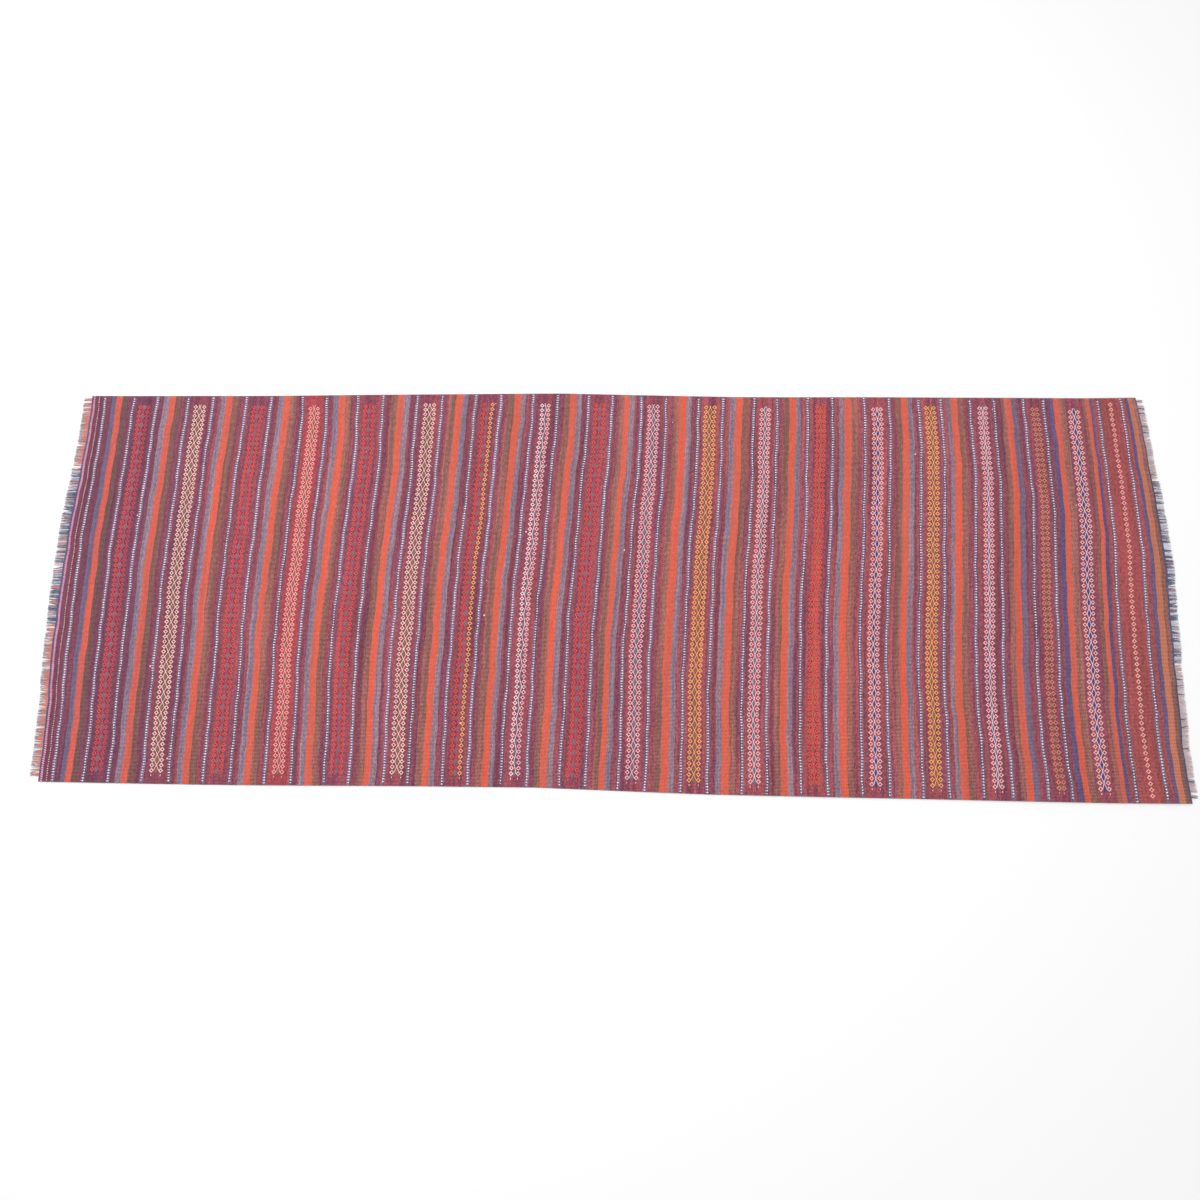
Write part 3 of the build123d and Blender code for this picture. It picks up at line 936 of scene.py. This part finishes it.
def crossing_lines(guide, strip, y_from, y_to, pitch, reach, style):
    """The lines between two rows of flowers, and the lozenges that they enclose."""
    stitches = bpy.context.scene.rug_stitches
    for side in (1, -1) if style == "crossing" else (1,):
        y = np.arange(y_from, y_to, pitch / 4)
        swing = np.abs(((y - y_from) / (2 * pitch)) % 2 - 1) * 2 - 1
        x, y_real = strip.place(y / strip.half(), 0.5)
        x = x + side * swing * reach
        guide.laid(x, y_real, lift(x, y_real) + CLOTH_THICKNESS + LINE_RISE, LINES)
    x, y, z, turn = pick_places(strip, y_from, y_to, 2 * pitch)
    size = (pitch * LOZENGE_SHARE, stitches.lozenge_width, stitches.stitch_height * 0.7)
    guide.pads(x, y, z, turn, size, LOZENGES)


class Threads:
    """Threads along lines, with a thickness and a colour at each point."""

    def __init__(self):
        self.points, self.edges, self.thick, self.dyes = [], [], [], []

    def add(self, path, widths, colours):
        start, count = len(self.points), len(widths)
        self.points.extend(zip(*path))
        self.edges.extend((start + i, start + i + 1) for i in range(count - 1))
        self.thick.extend(widths)
        self.dyes.extend(colours)


def warp_count(span):
    return max(2, round((span[1] - span[0]) / bpy.context.scene.rug_cloth.warp_pitch))


def section_span(node, side):
    """Lowest and highest place across the rug of a section of warp, at the left or right end."""
    points, _ = welded(node)
    end = points[:, 0] * side > RIGHT_TIP - SECTION_END
    step = sum(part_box(f"end_line_{'left' if side < 0 else 'right'}")[i][1] for i in (0, 1)) / 2
    y = points[end][:, 1] - step
    return float(y.min()), float(y.max())


def warp_tone(random, colour, side):
    """The colours of a warp's cut end, where it leaves the cloth and at its tip."""
    y = bpy.context.scene.rug_yarns
    chance = random.uniform()
    if colour == "dark":
        if chance < (0.22 if side < 0 else 0.42):
            inner = outer = y.white_warp
        elif chance < 0.32 and side < 0:
            inner = outer = y.salmon_warp
        elif chance < (0.45 if side < 0 else 0.55):
            inner = outer = y.faded_warp
        else:
            inner = outer = y.dark_warp
    elif side > 0:
        inner = outer = y.dark_warp if chance < 0.10 else y.pale_warp
    elif chance < 0.07:
        inner = outer = y.white_warp
    else:
        inner, outer = y.salmon_warp, y.faded_warp
    shade = random.uniform(0.8, 1.12)
    return [np.array([*(c * shade for c in linear(part)[:3]), 1.0]) for part in (inner, outer)]


def inner_warps(threads, ends, spans, colour, random):
    """The warps of a section inside the cloth, from one end to the other."""
    fringe = bpy.context.scene.rug_fringe
    t = np.linspace(0, 1, RUN_POINTS)
    for share in (np.arange(warp_count(spans[0])) + 0.5) / warp_count(spans[0]):
        tone, _ = [warp_tone(random, colour, side) for side in (-1, 1)]
        (left_x, left_y), (right_x, right_y) = [
            end[0].place((low + (high - low) * share) / end[0].half(), 0.5)
            for end, (low, high) in zip(ends, spans)]
        x, y = left_x + (right_x - left_x) * t, left_y + (right_y - left_y) * t
        threads.add((x, y, lift(x, y) + CLOTH_THICKNESS / 2), [fringe.warp_width] * RUN_POINTS,
                    [tone[0]] * RUN_POINTS)


def cut_ends(threads, end, span, colour, random):
    """A section's frayed ends at one end of the rug, which lean together in small clumps."""
    fringe = bpy.context.scene.rug_fringe
    pitch = bpy.context.scene.rug_cloth.warp_pitch
    strip, along, side, pale, dark = end
    reach = dark if colour == "dark" else pale
    count, left_in_clump = warp_count(span), 0
    for warp in range(count):
        if left_in_clump == 0:
            clump_size = left_in_clump = int(random.integers(2, 8))
            clump_angle = random.normal(0, CLUMP_SWING)
        left_in_clump -= 1
        pull = (left_in_clump - clump_size / 2 + 0.5) * pitch * CLUMP_PULL
        base_y = span[0] + (span[1] - span[0]) * (warp + 0.5) / count
        inner, outer = warp_tone(random, colour, side)
        for hair in range(fringe.hairs):
            place = base_y + (hair - (fringe.hairs - 1) / 2) * pitch * HAIR_SPREAD
            long = reach * random.uniform(*HAIR_LENGTHS)
            angle = clump_angle + random.normal(0, HAIR_SWING)
            x, y = strip.place(place / strip.half(), along)
            wave = random.normal(0, HAIR_WAVE, len(HAIR_STEPS)) * HAIR_OUT
            start_z = lift(x, y) + CLOTH_THICKNESS / 2
            rest_z = fringe.hair_width * random.uniform(0.5, 1.6)
            path = (x + side * long * HAIR_STEPS * np.cos(angle),
                    y + long * HAIR_OUT * np.sin(angle) + pull * HAIR_OUT + wave,
                    start_z + (rest_z - start_z + random.uniform(0, HAIR_RISE)) * HAIR_DROP)
            threads.add(path, fringe.hair_width * HAIR_TAPER,
                        [inner + (outer - inner) * share for share in HAIR_FADE])


# ---- operators ----
class RUG_OT_ground(bpy.types.Operator):
    """Weave the bands of ground that carry the brocades, and the bands of the two ends"""
    bl_idname = "rug.ground"
    bl_label = "Ground Bands"

    def execute(self, context):
        for number, node in enumerate(GROUND_NODES, start=1):
            strip, = strips(node)
            zones = [(0.0, 1.0, 0)]
            if number == RED_BAND:
                brocade, = strips(BROCADE_NODES[number - 1])
                left, right = brocade.middle()
                start, width = strip.middle()[0], strip.width()
                before = (left - RED_MARGIN - start) / width
                after = (right + RED_MARGIN - start) / width
                zones = [(0.0, before, 0), (before, after, 1), (after, 1.0, 0)]
            piece = cloth_piece(f"maroon_ground_{number:02d}", [slab(strip, zones)],
                                [wool("maroon_ground"), wool("red_ground")])
            finish_piece(piece, node)
        weave("left_end_ground", "left_end_band", "maroon_ground")
        weave("red_end_ground", "red_end_band", "red_end_ground")
        return {"FINISHED"}


class RUG_OT_stripes(bpy.types.Operator):
    """Weave the slate, navy, orange, brown and tan stripes"""
    bl_idname = "rug.stripes"
    bl_label = "Stripes"

    def execute(self, context):
        for colour, node in STRIPES.items():
            weave(f"{colour}_wefts", node, f"{colour}_wool")
        return {"FINISHED"}


class RUG_OT_end_lines(bpy.types.Operator):
    """Weave the dark lines at both ends and the twined line beside the left one"""
    bl_idname = "rug.end_lines"
    bl_label = "End Lines"

    def execute(self, context):
        for side in ("left", "right"):
            weave(f"dark_line_{side}", f"end_line_{side}", "dark_end_wool")
        weave("twined_bed", "twined_line", "twined_bed_wool")
        stitches = context.scene.rug_stitches
        strip, = strips("twined_line")
        reach = strip.half() - TWINE_MARGIN
        x, y, z, turn = pick_places(strip, -reach, reach, stitches.twine_pitch)
        size = (stitches.twine_width, stitches.twine_pitch * 0.75, stitches.twine_height)
        guide = Guide()
        guide.pads(x + stitches.twine_shift, y, z, turn + TWINE_SLANT, size, LEFT)
        stitch(guide, "twined_stitches", "twined_line", sides=6, uneven=0.12,
               wools=[stitch_wool("twined_pink_wool", "twined")], rings=5)
        return {"FINISHED"}


class RUG_OT_beads(bpy.types.Operator):
    """Weave the beaded lines and the dashed line into the face of the ground"""
    bl_idname = "rug.beads"
    bl_label = "Beaded Lines"

    def execute(self, context):
        stitches = context.scene.rug_stitches
        random = np.random.default_rng(stitches.seed)
        face = {"low": CLOTH_THICKNESS - stitches.bed_depth,
                "high": CLOTH_THICKNESS + stitches.bed_rise}
        weave("beaded_beds", "beaded_lines", "beaded_bed_wool", **face)
        first, last = [strips(node)[0].middle()[0] for node in (BROCADE_NODES[0],
                                                                BROCADE_NODES[-1])]
        guide = Guide()
        size = (stitches.bead_length, stitches.bead_width, stitches.stitch_height)
        for strip in strips("beaded_lines"):
            reach = strip.half() - BEAD_MARGIN
            pitch = flower_pitch((strip.middle()[0] - first) / (last - first)) / 2
            x, y, z, turn = pick_places(strip, -reach, reach, pitch, random.uniform(0, pitch))
            guide.pads(x, y, z, turn, size, LEFT)
            slant, start = random.uniform(*DOUBLING_SLANTS), random.uniform(0, 6)
            doubled = waves([(1.0, DOUBLING, slant, start)], x, y)
            for side in (-1, 1):
                chosen = doubled * side > stitches.single_share
                guide.pads((x + side * strip.width() * SIDE_PLACE)[chosen], y[chosen], z[chosen],
                           turn[chosen], [SIDE_SIZE * length for length in size], RIGHT)
        stitch(guide, "white_beads", "beaded_lines", sides=4, uneven=0.2,
               wools=[stitch_wool("bead_wool", "bead"), stitch_wool("mesh_wool", "bead_mesh")])

        weave("dashed_bed", "dashed_line", "dashed_bed_wool", **face)
        strip, = strips("dashed_line")
        reach = strip.half() - BEAD_MARGIN
        guide = Guide()
        size = (stitches.dash_length, stitches.dash_width, stitches.dash_height)
        guide.pads(*pick_places(strip, -reach, reach, stitches.dash_pitch), size, LEFT)
        stitch(guide, "salmon_dashes", "dashed_line", sides=5, uneven=0.25,
               wools=[stitch_wool("dash_wool", "dash")])
        return {"FINISHED"}


class RUG_OT_brocades(bpy.types.Operator):
    """Lay the eighteen brocades and the single row of flowers on the ground"""
    bl_idname = "rug.brocades"
    bl_label = "Brocades"

    def execute(self, context):
        stitches = context.scene.rug_stitches
        closing = (stitches.closing_length, stitches.closing_width, stitches.stitch_height)
        for number, (node, row) in enumerate(zip(BROCADE_NODES, BROCADES), start=1):
            *names, pitch, gap, style = row
            strip, = strips(node)
            pitch, gap = pitch * MILLIMETRE, gap * MILLIMETRE
            y_from, y_to = stitches.near_stop - strip.half(), strip.half() - stitches.far_stop
            guide = Guide()
            for side, yarn in ((-1, LEFT), (1, RIGHT)):
                flowers(guide, strip, y_from, y_to, pitch, side * gap / 2, yarn)
            reach = max(gap / 2 - stitches.flower_half, stitches.least_reach)
            crossing_lines(guide, strip, y_from, y_to, pitch, reach, style)
            start = y_from - stitches.closing_gap
            for side, yarn in ((-1, LEFT), (1, RIGHT)):
                dash = pick_places(strip, start, start + pitch / 2, pitch, offset=side * gap / 2)
                guide.pads(*dash, closing, yarn)
            name = f"{names[0].removesuffix('_brocade')}_brocade_{number:02d}"
            wools = [stitch_wool(f"{yarn}_stitch_wool", yarn) for yarn in names]
            stitch(guide, name, node, sides=5, uneven=0.12, wools=wools, seed=number,
                   stands=True)
        strip, = strips("flower_row")
        reach = strip.half() - ROW_MARGIN
        guide = Guide()
        flowers(guide, strip, -reach, reach, FLOWER_ROW_PITCH, 0.0, LEFT)
        stitch(guide, "salmon_flower_row", "flower_row", sides=6, uneven=0.15,
               wools=[stitch_wool("salmon_stitch_wool", "salmon")], stands=True)
        return {"FINISHED"}


class RUG_OT_warps(bpy.types.Operator):
    """Stretch the warps through the cloth and fray their cut ends into the fringe"""
    bl_idname = "rug.warps"
    bl_label = "Warps and Fringe"

    def execute(self, context):
        fringe = context.scene.rug_fringe
        random = np.random.default_rng(fringe.seed)
        yarn = warp_material("warp_wool")
        tree = warp_tree()
        left, = strips("end_line_left")
        right, = strips("end_line_right")
        ends = ((left, 0.0, -1, fringe.left_end, fringe.left_dark_end),
                (right, 1.0, 1, fringe.right_end, fringe.right_dark_end))
        for node, (colour, name) in WARP_SECTIONS.items():
            spans = [section_span(node, side) for side in (-1, 1)]
            threads = Threads()
            inner_warps(threads, ends, spans, colour, random)
            for end, span in zip(ends, spans):
                cut_ends(threads, end, span, colour, random)
            piece = worked(name, threads.points, threads.edges,
                           {"thick": ("FLOAT", threads.thick), DYE: ("FLOAT_COLOR", threads.dyes)},
                           tree, {"Sides": 4, "Yarn": yarn})
            finish_piece(piece, node)
        return {"FINISHED"}


class RUG_OT_stage(bpy.types.Operator):
    """Lay the floor, light it softly and set the camera"""
    bl_idname = "rug.stage"
    bl_label = "Stage"

    def execute(self, context):
        scene = context.scene
        stage = scene.rug_stage
        mesh = bpy.data.meshes.new("floor")
        corners = [(x * FLOOR_REACH, y * FLOOR_REACH, FLOOR_LEVEL)
                   for x, y in ((-1, -1), (1, -1), (1, 1), (-1, 1))]
        mesh.from_pydata(corners, [], [(0, 1, 2, 3)])
        floor = new_object("floor", mesh)
        material = new_material("pale_floor")
        tree = material.node_tree
        shader = add_node(tree, "ShaderNodeBsdfPrincipled", {
            "Base Color": linear(stage.floor), "Roughness": 0.8, "Specular IOR Level": 0.1})
        add_node(tree, "ShaderNodeOutputMaterial", {0: shader.outputs[0]})
        mesh.materials.append(material)

        world = bpy.data.worlds.new("soft_sky")
        world.use_nodes = True
        sky = world.node_tree.nodes["Background"]
        sky.inputs["Color"].default_value = (1.0, 1.0, 1.0, 1.0)
        sky.inputs["Strength"].default_value = stage.sky
        scene.world = world
        lamp = bpy.data.lights.new("key", "AREA")
        lamp.shape = "RECTANGLE"
        lamp.size, lamp.size_y = KEY_SIZE
        lamp.energy = stage.key_power
        key = new_object("key", lamp)
        key.location, key.rotation_euler = KEY_PLACE, KEY_TILT
        key.visible_camera = False

        camera = bpy.data.cameras.new("camera")
        camera.lens, camera.sensor_width = stage.lens, 36.0
        camera.clip_start = 0.05
        eye = new_object("camera", camera)
        eye.location = stage.eye
        eye.rotation_euler = stage.tilt
        scene.camera = eye
        scene.view_settings.view_transform = "Standard"
        scene.view_settings.look = "None"
        return {"FINISHED"}


class RUG_OT_sheets(bpy.types.Operator):
    """Work out the width of the strips of each cloth node; the results are not kept"""
    bl_idname = "rug.sheets"
    bl_label = "Cloth Facts"

    def execute(self, context):
        for number, node in enumerate(GROUND_NODES, start=1):
            lay_sheet(node)
        lay_sheet("left_end_band")
        lay_sheet("red_end_band")
        for colour, node in STRIPES.items():
            lay_sheet(node)
        lay_sheet("beaded_lines")
        return {"FINISHED"}


def lay_sheet(node):
    """Works out how wide a CAD node's strips are together; the result is not kept."""
    cloths = strips(node)
    width = sum(strip.width() for strip in cloths)
    2 * cloths[0].half()


class RUG_PT_panel(bpy.types.Panel):
    """Lists the sizes, the colours and the steps of making the rug"""
    bl_idname = "RUG_PT_panel"
    bl_label = "Runner Rug"
    bl_space_type = "VIEW_3D"
    bl_region_type = "UI"
    bl_category = "Rug"

    def draw(self, context):
        for group in (context.scene.rug_cloth, context.scene.rug_stitches,
                      context.scene.rug_fringe, context.scene.rug_yarns, context.scene.rug_stage):
            box = self.layout.box()
            for name in group.bl_rna.properties.keys():
                if name not in ("name", "rna_type"):
                    box.prop(group, name)
        for step in STEPS:
            self.layout.operator(step.bl_idname)


GROUPS = {"rug_cloth": RugCloth, "rug_stitches": RugStitches, "rug_fringe": RugFringe,
          "rug_yarns": RugYarns, "rug_stage": RugStage}
STEPS = [RUG_OT_stage, RUG_OT_ground, RUG_OT_stripes, RUG_OT_end_lines, RUG_OT_beads,
         RUG_OT_brocades, RUG_OT_warps, RUG_OT_sheets]


def register():
    for group in (*GROUPS.values(), *STEPS, RUG_PT_panel):
        bpy.utils.register_class(group)
    for name, group in GROUPS.items():
        setattr(bpy.types.Scene, name, bpy.props.PointerProperty(type=group))


def unregister():
    for name in GROUPS:
        delattr(bpy.types.Scene, name)
    for group in (RUG_PT_panel, *reversed(STEPS), *reversed(GROUPS.values())):
        bpy.utils.unregister_class(group)


def main():
    register()
    for step in STEPS:
        module, name = step.bl_idname.split(".")
        getattr(getattr(bpy.ops, module), name)()


if __name__ == "__main__":
    main()
